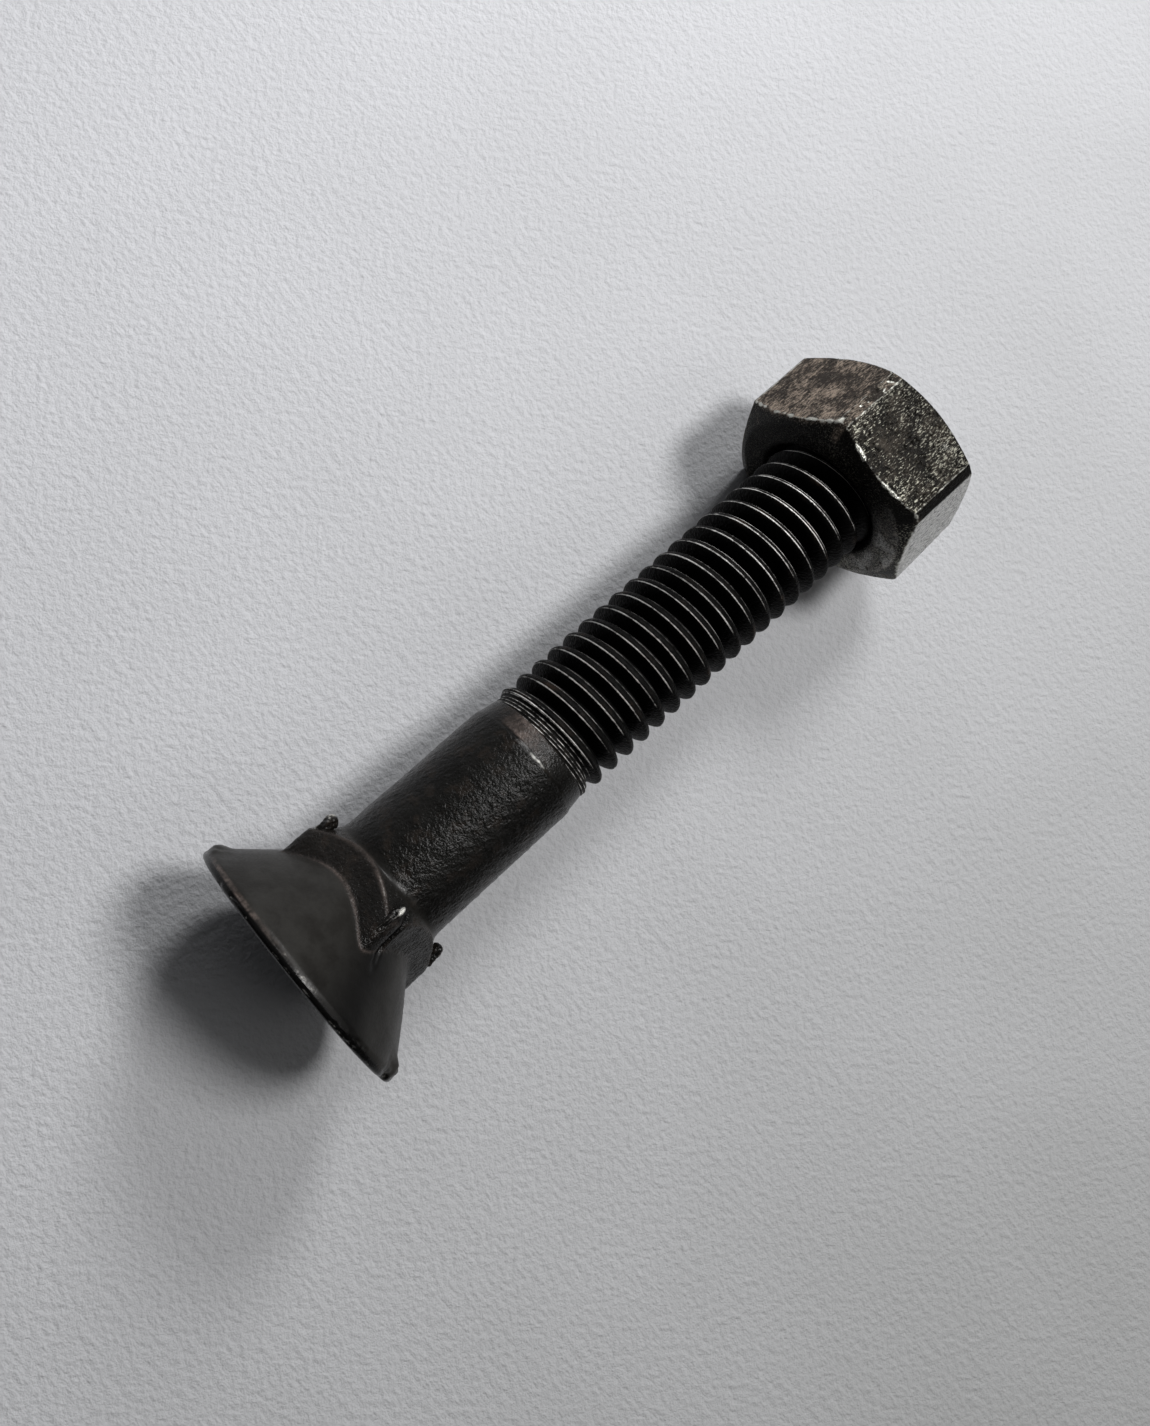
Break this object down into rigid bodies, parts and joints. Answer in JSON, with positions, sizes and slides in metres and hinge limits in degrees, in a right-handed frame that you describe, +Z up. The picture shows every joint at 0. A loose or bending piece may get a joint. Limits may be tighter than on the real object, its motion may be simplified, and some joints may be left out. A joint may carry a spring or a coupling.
{
  "type": "plow bolt",
  "caption": "Countersunk square-neck plow bolt with a coarse rolled thread and a hex nut run on to its end.",
  "frame": {"origin": "bottom centre of the bounding box, on the surface that the bolt lies on", "axes": "+X along the bolt from its head to its nut, sloping down by 1.9 degrees as the bolt lies; +Z up; the nut's flat faces down"},
  "size_m": [0.0826, 0.026, 0.026],
  "materials": {
    "bolt_steel": "black forging scale, pebbled, with bright worn crests and edges",
    "nut_steel": "dark oiled steel with a brown mottle and bright worn corners"
  },
  "bodies": {
    "bolt": {"plow_bolt": "bolt_steel"},
    "nut": {"hex_nut": "nut_steel"}
  },
  "joints": [
    {"name": "nut_travel", "type": "slide", "parent": "bolt", "child": "nut", "axis": [0.9995, 0, -0.0326], "range_m": [-0.03387, 0.0127]}
  ]
}
